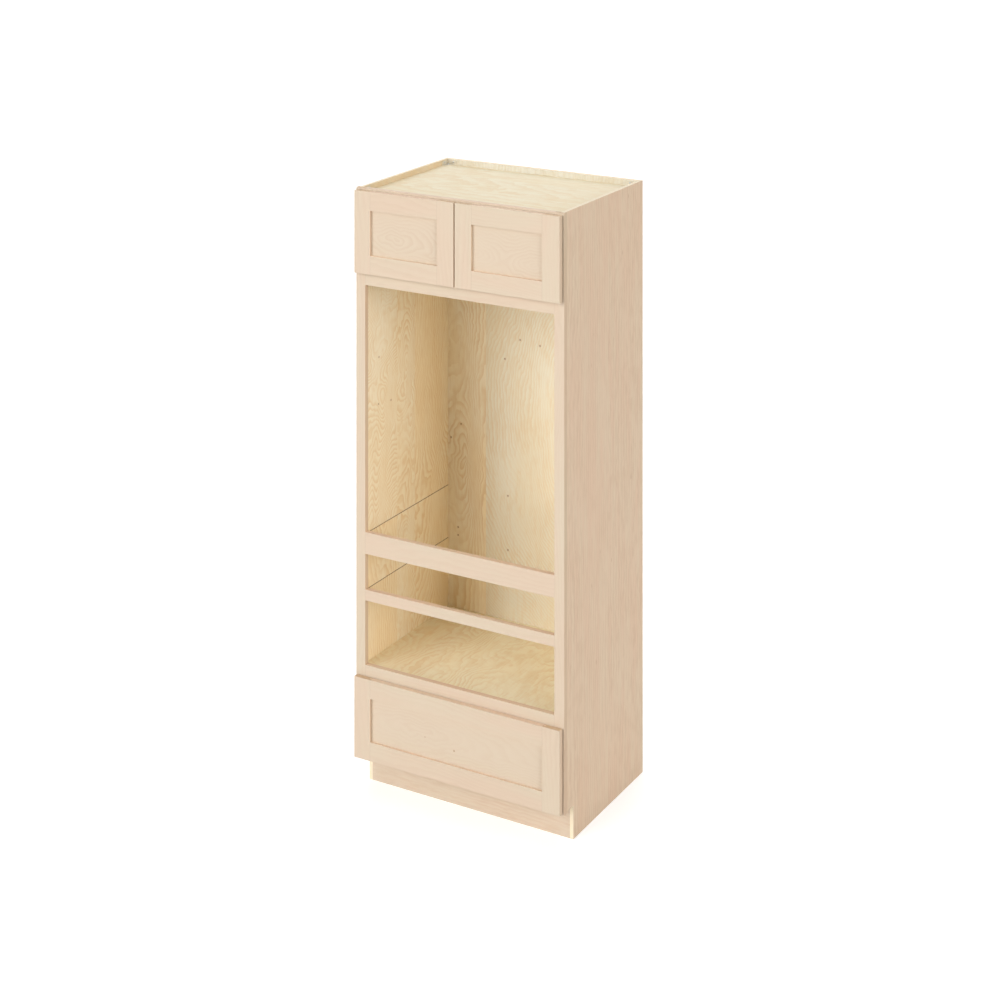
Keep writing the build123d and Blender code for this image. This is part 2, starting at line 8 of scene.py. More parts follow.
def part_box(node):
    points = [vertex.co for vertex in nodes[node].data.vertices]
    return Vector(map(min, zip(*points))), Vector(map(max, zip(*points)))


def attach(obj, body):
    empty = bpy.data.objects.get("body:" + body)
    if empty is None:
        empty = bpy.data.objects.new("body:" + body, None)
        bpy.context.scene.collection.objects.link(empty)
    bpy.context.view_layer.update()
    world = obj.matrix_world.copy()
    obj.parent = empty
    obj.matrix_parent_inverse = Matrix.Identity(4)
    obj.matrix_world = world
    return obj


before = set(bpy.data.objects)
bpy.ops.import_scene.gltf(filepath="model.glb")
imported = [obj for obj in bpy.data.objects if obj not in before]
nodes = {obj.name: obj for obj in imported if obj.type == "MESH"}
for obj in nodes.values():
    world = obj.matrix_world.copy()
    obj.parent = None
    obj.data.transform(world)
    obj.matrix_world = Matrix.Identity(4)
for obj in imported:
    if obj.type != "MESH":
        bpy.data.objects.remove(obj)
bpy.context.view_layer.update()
print("frame loaded,", len(nodes), "nodes")


# Small helpers for shader trees

def paint(red, green, blue):
    # a colour given in 0 to 255, made linear; a tint that brightens may pass 255
    channels = [c / 255 for c in (red, green, blue)]
    return tuple(c / 12.92 if c <= 0.04045 else ((c + 0.055) / 1.055) ** 2.4 for c in channels) + (1.0,)


def plug(tree, socket, value):
    if isinstance(value, bpy.types.NodeSocket):
        tree.links.new(value, socket)
    else:
        socket.default_value = value


def sums(tree, operation, *values):
    node = tree.nodes.new("ShaderNodeMath")
    node.operation = operation
    for socket, value in zip(node.inputs, values):
        plug(tree, socket, value)
    return node.outputs[0]


def ramp(tree, value, low, high, fromLow=0.0, fromHigh=1.0):
    # a smooth step from low to high while value goes from fromLow to fromHigh
    node = tree.nodes.new("ShaderNodeMapRange")
    node.interpolation_type = "SMOOTHSTEP"
    settings = {"Value": value, "From Min": fromLow, "From Max": fromHigh, "To Min": low, "To Max": high}
    for name, setting in settings.items():
        plug(tree, node.inputs[name], setting)
    return node.outputs["Result"]


def blendColors(tree, amount, first, second, mode="MIX"):
    node = tree.nodes.new("ShaderNodeMix")
    node.data_type = "RGBA"
    node.blend_type = mode
    plug(tree, node.inputs["Factor"], amount)
    plug(tree, node.inputs[6], first)
    plug(tree, node.inputs[7], second)
    return node.outputs[2]


def noise(tree, vector, scale, detail=2.0, roughness=0.5):
    node = tree.nodes.new("ShaderNodeTexNoise")
    tree.links.new(vector, node.inputs["Vector"])
    node.inputs["Scale"].default_value = scale
    node.inputs["Detail"].default_value = detail
    node.inputs["Roughness"].default_value = roughness
    return node.outputs["Fac"]


def stretch(tree, vector, factors, shift=(0, 0, 0)):
    node = tree.nodes.new("ShaderNodeVectorMath")
    node.operation = "MULTIPLY_ADD"
    plug(tree, node.inputs[0], vector)
    plug(tree, node.inputs[1], factors)
    plug(tree, node.inputs[2], shift)
    return node.outputs[0]


def split(tree, vector):
    apart = tree.nodes.new("ShaderNodeSeparateXYZ")
    tree.links.new(vector, apart.inputs[0])
    return apart.outputs


def join(tree, parts):
    together = tree.nodes.new("ShaderNodeCombineXYZ")
    for socket, part in zip(together.inputs, parts):
        plug(tree, socket, part)
    return together.outputs[0]


def newMaterial(name):
    material = bpy.data.materials.new(name)
    material.use_nodes = True
    tree = material.node_tree
    return material, tree, tree.nodes["Principled BSDF"]


def addBump(tree, shader, height, strength, distance):
    node = tree.nodes.new("ShaderNodeBump")
    node.inputs["Strength"].default_value = strength
    node.inputs["Distance"].default_value = distance
    plug(tree, node.inputs["Height"], height)
    tree.links.new(node.outputs["Normal"], shader.inputs["Normal"])


def tones(pale, blush, cream):
    return {"pale": paint(*pale), "blush": paint(*blush), "cream": paint(*cream)}


# Wood. Lengths in metres, rings per metre across the grain.
maple = {
    **tones(pale=(216, 198, 176), blush=(218, 195, 173), cream=(215, 200, 177)), "line": paint(201, 172, 145),
    "rings": 60, "swing": 14, "swingScale": 4.5, "reach": 4.0, "curl": 0.3, "ripple": 0.8, "lineDepth": 0.15,
    "fibre": 0.10, "streak": 0.05, "fleck": 0.12, "banding": 0.3,
}
mapleVeneer = {
    **tones(pale=(226, 201, 174), blush=(226, 196, 169), cream=(226, 205, 178)), "line": paint(202, 170, 140),
    "rings": 58, "swing": 9, "swingScale": 4.0, "reach": 6.0, "curl": 0.3, "ripple": 0.8, "lineDepth": 0.3,
    "fibre": 0.12, "streak": 0.24, "fleck": 0.7, "banding": 0.6,
}
birch = {
    **tones(pale=(250, 239, 214), blush=(248, 234, 204), cream=(251, 242, 220)), "line": paint(230, 199, 150),
    "rings": 16, "swing": 26, "swingScale": 2.8, "reach": 2.6, "curl": 0.5, "ripple": 1.0, "lineDepth": 0.42,
    "fibre": 0.12, "streak": 0.22, "fleck": 0.04, "banding": 0.2,
}
edgeWarmShade = paint(258, 252, 246)  # every long edge is tinted a little warmer than the face: painted warm shade, for the edges seen in the shaded gaps
railEdgeLight = paint(273, 266, 264)  # the rails' edges are paler: painted light, where their top edges lie in the shade of the bays
endTint = paint(252, 240, 223)  # and end grain is the darkest
sandedTint = paint(251, 243, 234)
plyLayers = {
    "light": paint(254, 243, 220), "dark": paint(236, 216, 180), "count": 7, "roughScale": 260, "roughShare": 0.4,
}
woodFinish = {"dull": 0.62, "glossy": 0.5, "specular": 0.25, "bump": 0.2, "bumpDepth": 0.0004}

# The noises of the grain; along is how far each is drawn out with the fibres
grainNoises = {
    "ripple": dict(along=0.8, scale=34, detail=1.0),
    "tint": dict(along=0.3, scale=5.5, detail=1.5),
    "band": dict(along=0.1, scale=34, detail=2.0),
    "zone": dict(along=0.4, scale=9.0, detail=1.0),
    "fibre": dict(along=0.035, scale=620, detail=3.0, roughness=0.6),
    "streak": dict(along=0.1, scale=170, detail=2.5, roughness=0.6),
    "broken": dict(along=0.3, scale=60, detail=2.0),
}
ring = {"darkens": (0.2, 0.86), "ends": (0.88, 1.0), "swingDetail": 1.6, "swingRoughness": 0.45}
fleck = {"along": 0.16, "scale": 60, "inside": 0.04, "outside": 0.12, "rarity": 0.88}
seedSteps = (7.13, 3.71, 5.37)  # how far one step of the seed moves the pattern


def drawnNoise(tree, place, name):
    setting = dict(grainNoises[name])
    return noise(tree, stretch(tree, place, (1, 1, setting.pop("along"))), **setting)


def makeGrainGroup():
    # Vector comes in as across, through and along the board
    tree = bpy.data.node_groups.new("grain", "ShaderNodeTree")
    tree.interface.new_socket("Vector", in_out="INPUT", socket_type="NodeSocketVector")
    for name in ("Seed", "Rings", "Swing", "SwingScale", "Reach", "Curl", "Ripple", "Extra"):
        tree.interface.new_socket(name, in_out="INPUT", socket_type="NodeSocketFloat")
    for name in ("Ring", "Tint", "Band", "Fibre", "Streak", "Fleck", "Zone"):
        tree.interface.new_socket(name, in_out="OUTPUT", socket_type="NodeSocketFloat")
    given = tree.nodes.new("NodeGroupInput").outputs
    result = tree.nodes.new("NodeGroupOutput").inputs

    away = join(tree, [sums(tree, "MULTIPLY", given["Seed"], step) for step in seedSteps])
    place = stretch(tree, given["Vector"], (1, 1, 1), away)
    slow = join(tree, (1.0, 1.0, sums(tree, "DIVIDE", 1.0, given["Reach"])))

    swingNoise = tree.nodes.new("ShaderNodeTexNoise")
    plug(tree, swingNoise.inputs["Vector"], stretch(tree, place, slow))
    plug(tree, swingNoise.inputs["Scale"], given["SwingScale"])
    plug(tree, swingNoise.inputs["Distortion"], given["Curl"])
    swingNoise.inputs["Detail"].default_value = ring["swingDetail"]
    swingNoise.inputs["Roughness"].default_value = ring["swingRoughness"]
    swing = sums(tree, "MULTIPLY", swingNoise.outputs["Fac"], given["Swing"])
    ripple = sums(tree, "MULTIPLY_ADD", drawnNoise(tree, place, "ripple"), given["Ripple"], given["Extra"])
    across = split(tree, place)[0]
    count = sums(tree, "MULTIPLY_ADD", across, given["Rings"], sums(tree, "ADD", swing, ripple))
    phase = sums(tree, "FRACT", count)
    rise = ramp(tree, phase, 0, 1, *ring["darkens"])  # pale early wood darkens slowly
    fall = ramp(tree, phase, 1, 0, *ring["ends"])  # and ends in a sharp line
    plug(tree, result["Ring"], sums(tree, "MULTIPLY", rise, fall))
    for name in ("Tint", "Band", "Zone", "Fibre"):
        plug(tree, result[name], drawnNoise(tree, place, name.lower()))
    streak = sums(tree, "MULTIPLY", drawnNoise(tree, place, "streak"), drawnNoise(tree, place, "broken"))
    plug(tree, result["Streak"], sums(tree, "MULTIPLY", streak, 2.0))

    cells = tree.nodes.new("ShaderNodeTexVoronoi")
    plug(tree, cells.inputs["Vector"], stretch(tree, place, (1, 1, fleck["along"])))
    cells.inputs["Scale"].default_value = fleck["scale"]
    dash = ramp(tree, cells.outputs["Distance"], 1, 0, fleck["inside"], fleck["outside"])
    pick = tree.nodes.new("ShaderNodeSeparateColor")
    tree.links.new(cells.outputs["Color"], pick.inputs[0])
    rare = sums(tree, "GREATER_THAN", pick.outputs[0], fleck["rarity"])
    plug(tree, result["Fleck"], sums(tree, "MULTIPLY", dash, rare))
    return tree


grainGroup = makeGrainGroup()
print("grain group made")


def boardSpace(tree, axes):
    # Object coordinates put in the order across, through, along
    coords = tree.nodes.new("ShaderNodeTexCoord")
    apart = split(tree, coords.outputs["Object"])
    return coords, join(tree, [apart["xyz".index(axis)] for axis in axes])


eyeShape = {"wanderScale": 14, "wander": 0.045, "merging": 0.3, "farthest": 9.0}


def shaping(tree, place, look):
    # Lets a look bend the rings into an arch or close them round a few centres
    extra = 0.0
    along = split(tree, place)[2]
    if "slant" in look:
        extra = sums(tree, "MULTIPLY_ADD", along, look["slant"], extra)
    if "arch" in look:
        high = sums(tree, "SUBTRACT", along, look["arch"]["at"])
        extra = sums(tree, "MULTIPLY_ADD", sums(tree, "MULTIPLY", high, high), look["arch"]["pull"], extra)
    if "eyes" in look:
        wander = tree.nodes.new("ShaderNodeTexNoise")
        plug(tree, wander.inputs["Vector"], place)
        wander.inputs["Scale"].default_value = eyeShape["wanderScale"]
        amount = (eyeShape["wander"], 0, eyeShape["wander"])
        wandered = stretch(tree, wander.outputs["Color"], amount, place)
        nearest = look["eyes"].get("cap", eyeShape["farthest"])  # beyond this the rings run straight again
        for u, v, wide, long in look["eyes"]["centers"]:
            reach = tree.nodes.new("ShaderNodeVectorMath")
            reach.operation = "LENGTH"
            centered = stretch(tree, wandered, (1 / wide, 0, 1 / long), (-u / wide, 0, -v / long))
            tree.links.new(centered, reach.inputs[0])
            nearest = sums(tree, "SMOOTH_MIN", nearest, reach.outputs["Value"], eyeShape["merging"])
        extra = sums(tree, "MULTIPLY_ADD", nearest, look["eyes"]["count"], extra)
    return extra


# Where each noise begins and ends to count, and what share of the colour or height it takes
figureMix = {
    "blushToCream": (0.35, 0.65), "paleShare": 0.3, "plainZone": (0.3, 0.65), "plainDepth": 0.3,
    "streaks": (0.4, 0.75), "fibreHeight": 0.7, "ringHeight": -0.3,
}
flame = {
    "across": 12, "along": 55, "wander": 3.5, "depth": 0.05, "wanderScale": 14, "wanderDetail": 2.5,
    "clouds": (0.4, 0.6), "cloudDepth": 0.2,
}


def addFlame(tree, place, color, look, tint):
    # the faint cross bands of birch, stronger in some clouds than in others
    across, _, along = split(tree, place)
    waver = noise(tree, place, flame["wanderScale"], flame["wanderDetail"])
    wander = sums(tree, "MULTIPLY", waver, flame["wander"] * math.tau)
    turns = sums(tree, "MULTIPLY_ADD", across, flame["across"] * math.tau, wander)
    wave = sums(tree, "SINE", sums(tree, "MULTIPLY_ADD", along, flame["along"] * math.tau, turns))
    clouds = ramp(tree, tint, flame["cloudDepth"], 1, *flame["clouds"])
    shade = sums(tree, "MULTIPLY", ramp(tree, wave, 0, flame["depth"], -1, 1), clouds)
    return blendColors(tree, shade, color, look["line"])


def figure(tree, place, look, seed):
    # Returns the colour of the wood and the height of its grain
    group = tree.nodes.new("ShaderNodeGroup")
    group.node_tree = grainGroup
    plug(tree, group.inputs["Vector"], place)
    for key in ("rings", "swing", "swingScale", "reach", "curl", "ripple"):
        group.inputs[key[0].upper() + key[1:]].default_value = look[key]
    plug(tree, group.inputs["Seed"], seed)
    plug(tree, group.inputs["Extra"], shaping(tree, place, look))
    out = group.outputs
    drift = sums(tree, "MULTIPLY_ADD", sums(tree, "SUBTRACT", out["Band"], out["Tint"]), look["banding"], out["Tint"])
    base = blendColors(tree, ramp(tree, drift, 0, 1, *figureMix["blushToCream"]), look["blush"], look["cream"])
    base = blendColors(tree, figureMix["paleShare"], base, look["pale"])
    zones = ramp(tree, out["Zone"], figureMix["plainDepth"], 1, *figureMix["plainZone"])
    depth = sums(tree, "MULTIPLY", zones, look["lineDepth"])
    color = blendColors(tree, sums(tree, "MULTIPLY", out["Ring"], depth), base, look["line"])
    if look.get("flamed"):
        color = addFlame(tree, place, color, look, out["Tint"])
    fibres = sums(tree, "MULTIPLY", out["Fibre"], look["fibre"])
    streakPlaces = ramp(tree, out["Streak"], 0, 1, *figureMix["streaks"])
    streaks = sums(tree, "MULTIPLY_ADD", streakPlaces, look["streak"], fibres)
    color = blendColors(tree, streaks, color, look["line"])
    color = blendColors(tree, sums(tree, "MULTIPLY", out["Fleck"], look["fleck"]), color, look["line"], "MULTIPLY")
    sunken = sums(tree, "MULTIPLY", out["Ring"], figureMix["ringHeight"])
    height = sums(tree, "MULTIPLY_ADD", out["Fibre"], figureMix["fibreHeight"], sunken)
    return color, height


# depths are shares of the tone, and starts and reaches are shares of the knot's radius
knotTone = {
    "heart": paint(112, 68, 26), "heartDepth": 0.95, "heartStart": 0.4,
    "ring": paint(184, 116, 24), "ringDepth": 0.3, "ringStart": 0.5, "ringReach": 2.6,
}
jointTone = paint(112, 70, 30)
frameJoint = {"width": 0.0008, "depth": 0.4}
linerJoint = {"width": 0.0024, "depth": 0.9}
jointCore = 0.3  # share of a joint's width that is fully dark


def addKnots(tree, coords, color, knots):
    hearts = rings = 0.0
    for spot, radius in knots:
        away = tree.nodes.new("ShaderNodeVectorMath")
        away.operation = "DISTANCE"
        tree.links.new(coords.outputs["Object"], away.inputs[0])
        away.inputs[1].default_value = spot
        distance = away.outputs["Value"]
        heart = ramp(tree, distance, knotTone["heartDepth"], 0, radius * knotTone["heartStart"], radius)
        ringSpan = (radius * knotTone["ringStart"], radius * knotTone["ringReach"])
        hearts = sums(tree, "MAXIMUM", hearts, heart)
        rings = sums(tree, "MAXIMUM", rings, ramp(tree, distance, knotTone["ringDepth"], 0, *ringSpan))
    return blendColors(tree, hearts, blendColors(tree, rings, color, knotTone["ring"]), knotTone["heart"])


def isOver(tree, value, limit):
    return sums(tree, "GREATER_THAN", value, limit)


seedStep = {"leaf": 3.7, "upper": 17, "inner": 11}  # sets the sheets of one board apart


def woodMaterial(name, leaves, axes, seed, knots=(), joints=(), joint=frameJoint, plies=None, inner=None,
                 outward=1, sanded=0, upper=None, paintedEdgeLight=edgeWarmShade):
    # leaves are pairs: a look, and the place across the board where its sheet of veneer begins
    # upper is a look too, with the place along the board from which it takes over
    # inner is the look of the face that points away from outward
    # sanded is 1 or -1 where the right or left edge is finished like the side beside it
    material, tree, shader = newMaterial(name)
    coords, place = boardSpace(tree, axes)
    across, through, along = split(tree, place)
    color, height = figure(tree, place, leaves[0][0], seed)
    for number, (look, edge) in enumerate(leaves[1:], 1):
        nextColor = figure(tree, place, look, seed + seedStep["leaf"] * number)[0]
        color = blendColors(tree, isOver(tree, across, edge), color, nextColor)
    if upper:
        upperColor = figure(tree, place, upper[0], seed + seedStep["upper"])[0]
        color = blendColors(tree, isOver(tree, along, upper[1]), color, upperColor)
    normal = split(tree, coords.outputs["Normal"])
    facing = normal["xyz".index(axes[1])]
    if inner:
        innerColor = figure(tree, place, inner, seed + seedStep["inner"])[0]
        outside = isOver(tree, sums(tree, "MULTIPLY", facing, outward), 0.5)
        color = blendColors(tree, outside, innerColor, color)
    if knots:
        color = addKnots(tree, coords, color, knots)
    for spot in joints:
        gap = sums(tree, "ABSOLUTE", sums(tree, "SUBTRACT", along, spot))
        dark = ramp(tree, gap, joint["depth"], 0, joint["width"] * jointCore, joint["width"])
        color = blendColors(tree, dark, color, jointTone)
    onEdge = sums(tree, "LESS_THAN", sums(tree, "ABSOLUTE", facing), 0.5)
    if sanded:
        besideVeneer = isOver(tree, sums(tree, "MULTIPLY", normal[0], sanded), 0.5)
        onEdge = sums(tree, "MULTIPLY", onEdge, sums(tree, "SUBTRACT", 1.0, besideVeneer))
        color = blendColors(tree, besideVeneer, color, sandedTint, "MULTIPLY")
    if plies:
        low, thickness = plies
        layer = sums(tree, "MULTIPLY", sums(tree, "SUBTRACT", through, low), plyLayers["count"] / thickness)
        odd = isOver(tree, sums(tree, "FRACT", sums(tree, "MULTIPLY", layer, 0.5)), 0.5)
        rough = noise(tree, place, plyLayers["roughScale"], 3.0)
        smoothShare = sums(tree, "MULTIPLY", odd, 1 - plyLayers["roughShare"])
        layered = sums(tree, "MULTIPLY_ADD", rough, plyLayers["roughShare"], smoothShare)
        color = blendColors(tree, onEdge, color, blendColors(tree, layered, plyLayers["light"], plyLayers["dark"]))
    else:
        endFacing = sums(tree, "ABSOLUTE", normal["xyz".index(axes[2])])
        # long edges take the given edge tint, painted warm shade by default and painted light on the rails; end grain
        # keeps its own darker tone
        endGrainAndEdgeLight = blendColors(tree, isOver(tree, endFacing, 0.5), paintedEdgeLight, endTint)
        color = blendColors(tree, onEdge, color, endGrainAndEdgeLight, "MULTIPLY")
    plug(tree, shader.inputs["Base Color"], color)
    plug(tree, shader.inputs["Roughness"], ramp(tree, height, woodFinish["dull"], woodFinish["glossy"]))
    shader.inputs["Specular IOR Level"].default_value = woodFinish["specular"]
    addBump(tree, shader, height, woodFinish["bump"], woodFinish["bumpDepth"])
    return material


def dress(node, material):
    slots = nodes[node].data.materials
    slots.clear()
    slots.append(material)


def mm(*values):
    return tuple(v / 1000 for v in values)


# Face frame, doors and drawer front
random.seed(7)


def seed():
    return random.uniform(0, 90)


for side, outward in (("left", -1), ("right", 1)):
    dress(f"{side}_stile", woodMaterial(f"{side}StileMaple", [(maple, 0)], "xyz", seed(), sanded=outward))
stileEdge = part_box("left_stile")[1].x
stileEdges = (stileEdge, -stileEdge)
for rail in ("top_rail", "cupboard_rail", "oven_rail", "middle_rail", "deck_rail", "bottom_rail"):
    # rail edges take the paler rail tint: painted light in the bays' shade
    dress(rail, woodMaterial(f"{rail}Maple", [(maple, 0)], "zyx", seed(), joints=stileEdges, paintedEdgeLight=railEdgeLight))

# A panel's rings close round its eyes: height and place across, and reach across and along
fronts = {
    "left_door": {
        "stiles": ("hinge_stile", "meeting_stile"), "lineDepth": 0.26, "knots": (),
        "eyes": [(1.995, -0.225, 0.06, 0.16), (1.90, -0.10, 0.05, 0.20)],
    },
    "right_door": {
        "stiles": ("hinge_stile", "meeting_stile"), "lineDepth": 0.26, "knots": (),
        "eyes": [(1.985, 0.10, 0.055, 0.12), (1.975, 0.335, 0.055, 0.12)],
    },
    "drawer_front": {
        "stiles": ("left_stile", "right_stile"), "lineDepth": 0.18,
        "knots": [(mm(-5.4, -306.4, 235.4), 0.0026), (mm(-123.3, -306.4, 255.6), 0.0014)],
        "eyes": [(0.30, -0.13, 0.06, 0.32), (0.20, 0.25, 0.06, 0.4)],
    },
}
panelMaple = dict(maple, blush=maple["pale"], rings=6, swing=5, ripple=0.5)
for front, parts in fronts.items():
    edges = []
    for stile in parts["stiles"]:
        node = f"{front}_{stile}"
        edges += [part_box(node)[0].x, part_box(node)[1].x]
        dress(node, woodMaterial(f"{node}Maple", [(maple, 0)], "xyz", seed()))
    joints = sorted(edges)[1:3]
    for rail in ("top_rail", "bottom_rail"):
        node = f"{front}_{rail}"
        # the fronts' rails take the same painted light on their edges
        dress(node, woodMaterial(f"{node}Maple", [(maple, 0)], "zyx", seed(), joints=joints, paintedEdgeLight=railEdgeLight))
    node = f"{front}_panel"
    panelLook = dict(panelMaple, lineDepth=parts["lineDepth"], eyes={"centers": parts["eyes"], "count": 5})
    dress(node, woodMaterial(f"{node}Maple", [(panelLook, 0)], "zyx", seed(), knots=parts["knots"]))
print("fronts dressed")

# Sides and toe kick
# the side panels' inner faces, seen above the top panel, get darker birch tones: painted shade of the space above the
# top panel
shadedRim = dict(
    birch, **tones(pale=(224, 205, 172), blush=(221, 198, 161), cream=(227, 210, 180)),
    lineDepth=0.3, rings=60,
)
# the back above the top panel is greyer and darker still: painted shade
shadedCrown = dict(
    shadedRim, **tones(pale=(219, 214, 198), blush=(216, 207, 186), cream=(222, 219, 206)),
    line=paint(206, 188, 150), streak=0.3,
)
plainVeneer = dict(mapleVeneer, streak=0.15)
streakedVeneer = dict(mapleVeneer, streak=0.3)
sideSheets = [(mapleVeneer, 0), (plainVeneer, -0.14), (mapleVeneer, 0.04), (streakedVeneer, 0.215)]
for side, outward in (("left", -1), ("right", 1)):
    low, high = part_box(f"{side}_side_panel")
    plies = (low.x, high.x - low.x)
    material = woodMaterial(f"{side}SideVeneer", sideSheets, "yxz", seed(), plies=plies, inner=shadedRim, outward=outward)
    dress(f"{side}_side_panel", material)
toeLook = dict(mapleVeneer, **tones(pale=(219, 201, 180), blush=(219, 199, 177), cream=(217, 202, 180)))
dress("toe_kick_board", woodMaterial("toeKickVeneer", [(toeLook, 0)], "zyx", seed()))

# Floors, back and linings
bold = dict(
    birch, pale=paint(255, 240, 206), blush=paint(254, 236, 198),
    rings=26, swing=12, swingScale=3.2, reach=3.0, curl=0.8, ripple=0.7, lineDepth=0.62,
    eyes={"centers": [(-0.32, 1.52, 0.05, 0.17), (-0.305, 1.03, 0.04, 0.16)], "count": 4.0, "cap": 2.2},
)
fanned = dict(
    birch, **tones(pale=(244, 240, 223), blush=(243, 233, 206), cream=(246, 241, 222)),
    rings=66, swing=14, swingScale=3.6, reach=2.2, ripple=1.3, lineDepth=0.36, arch={"at": 1.25, "pull": -46},
)
# the sheets right of the middle of the back are duller: painted shade, to damp the bright patch the left sun throws
# near the right stile; their arch is grain
fannedInShade = dict(
    fanned, **tones(pale=(241, 233, 213), blush=(239, 227, 201), cream=(242, 235, 217)),
    rings=50, arch={"at": 1.1, "pull": 30},
)
# the last sheet is darker still: more painted shade
fannedInDeeperShade = dict(fannedInShade, **tones(pale=(237, 226, 202), blush=(235, 221, 191), cream=(238, 227, 205)), swing=20)
slanting = dict(
    birch, pale=paint(250, 241, 219),
    rings=30, swing=26, swingScale=4.0, reach=1.8, curl=1.0, slant=-40, ripple=1.4, lineDepth=0.58,
)
swirled = dict(
    birch, pale=paint(250, 237, 210),
    rings=27, swing=20, swingScale=4.5, reach=2.2, curl=1.0, ripple=1.4, lineDepth=0.68,
    eyes={
        "centers": [(0.03, 1.44, 0.03, 0.07), (0.025, 1.33, 0.03, 0.07), (0.02, 0.80, 0.03, 0.1)],
        "count": 2.5, "cap": 3.5,
    },
)
upright = dict(
    birch, **tones(pale=(250, 235, 204), blush=(248, 229, 193), cream=(251, 239, 212)),
    rings=66, swing=20, swingScale=2.6, reach=3.0, ripple=1.4, lineDepth=0.68,
    eyes={"centers": [(0.20, 0.98, 0.07, 0.2)], "count": 3, "cap": 3.0},
)
calm = dict(
    birch, **tones(pale=(253, 245, 226), blush=(251, 239, 213), cream=(253, 247, 230)),
    rings=22, swing=26, swingScale=3.0, reach=2.2, curl=0.8, ripple=1.4, lineDepth=0.36, flamed=True,
)
# the oven deck's sheets are paler than the calm floors: painted light, for a deck that sits in the bay's shade; its
# rings and lines are grain
litDeck = dict(
    calm, **tones(pale=(255, 248, 222), blush=(254, 243, 211), cream=(255, 250, 226)),
    rings=24, swing=30, lineDepth=0.42,
)
# its left sheet is a little darker: painted shade towards the back-left corner; its deeper lines are grain
shadedDeck = dict(litDeck, **tones(pale=(252, 242, 213), blush=(250, 237, 202), cream=(252, 243, 217)), lineDepth=0.5)
faint = dict(
    birch, **tones(pale=(244, 233, 204), blush=(242, 228, 195), cream=(245, 236, 210)),
    rings=16, swing=16, reach=3.5, lineDepth=0.34, fleck=0.3, flamed=True,
)
pinKnots = {
    "wall": {
        "x": -396.8, "radius": 0.0028,
        "places": ((-180.6, 1503.8), (-101.4, 1327.6), (-183.8, 1335.8)),
    },
    "back": {
        "y": 296.9, "radius": 0.003,
        "places": (
            (-84, 1491), (0.5, 1481), (-149, 1411), (-340, 1137), (-384, 1080), (-136, 902), (-353, 745),
            (-353, 715), (-136, 700),
        ),
    },
}
wall, back = pinKnots["wall"], pinKnots["back"]
wallKnots = [(mm(wall["x"], y, z), wall["radius"]) for y, z in wall["places"]]
backKnots = [(mm(x, back["y"], z), back["radius"]) for x, z in back["places"]]
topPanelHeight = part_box("top_panel")[1].z
boards = {
    "top_panel": dict(axes="yzx", leaves=[(faint, 0), (faint, -0.06), (faint, 0.15)]),
    "cupboard_floor": dict(axes="xzy", leaves=[(calm, 0), (calm, -0.1), (calm, 0.18)]),
    "oven_deck": dict(axes="xzy", leaves=[(shadedDeck, 0), (litDeck, -0.17), (litDeck, 0.31)]),
    "drawer_bay_floor": dict(axes="xzy", leaves=[(calm, 0)]),
    "back_panel": dict(
        axes="xyz", leaves=[(bold, 0), (fanned, -0.231), (fannedInShade, 0.13), (fannedInDeeperShade, 0.27)],
        # above the top panel the back takes the painted shade
        knots=backKnots, upper=(shadedCrown, topPanelHeight),
    ),
    "hanging_rails": dict(axes="zyx", leaves=[(calm, 0)]),
}
seams = (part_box("left_lower_liner")[1].z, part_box("left_middle_liner")[1].z)
for side in ("left", "right"):
    for liner in ("upper_liner", "middle_liner", "lower_liner"):
        front = slanting if liner == "upper_liner" else upright
        leaves = [(front, 0), (swirled, -0.06), (upright, 0.061)]
        knots = wallKnots if side == "left" and liner == "upper_liner" else ()
        boards[f"{side}_{liner}"] = dict(axes="yxz", leaves=leaves, joints=seams, joint=linerJoint, knots=knots)
for node, board in boards.items():
    if node != "hanging_rails":  # solid boards, the rest is plywood
        low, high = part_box(node)
        through = "xyz".index(board["axes"][1])
        board["plies"] = (low[through], high[through] - low[through])
    dress(node, woodMaterial(f"{node}Birch", seed=seed(), **board))
print("boards dressed")

# Drawer box
for node, axes in (("left", "zxy"), ("right", "zxy"), ("front", "zyx"), ("back", "zyx"), ("bottom", "xzy")):
    dress(f"drawer_box_{node}", woodMaterial(f"drawer_box_{node}Birch", [(calm, 0)], axes, seed()))


# Metal, plastic and rubber
steelGrain = {
    "markScale": 900, "cloudScale": 90, "dimmed": 0.82, "smoother": 0.08, "rougher": 0.1,
    "bump": 0.12, "bumpDepth": 0.0002,
}
softGrain = {"cloudScale": 40, "rougher": 0.12, "bumpDepth": 0.0003}
middleOfNoise = (0.3, 0.7)


def steelMaterial(name, tone, roughness, brushed):
    material, tree, shader = newMaterial(name)
    coords = tree.nodes.new("ShaderNodeTexCoord")
    marks = noise(tree, stretch(tree, coords.outputs["Object"], brushed), steelGrain["markScale"], 3.0)
    clouds = noise(tree, coords.outputs["Object"], steelGrain["cloudScale"])
    dim = tuple(c * steelGrain["dimmed"] for c in tone[:3]) + (1.0,)
    plug(tree, shader.inputs["Base Color"], blendColors(tree, clouds, tone, dim))
    low, high = roughness - steelGrain["smoother"], roughness + steelGrain["rougher"]
    plug(tree, shader.inputs["Roughness"], ramp(tree, marks, low, high, *middleOfNoise))
    shader.inputs["Metallic"].default_value = 1.0
    addBump(tree, shader, marks, steelGrain["bump"], steelGrain["bumpDepth"])
    return material


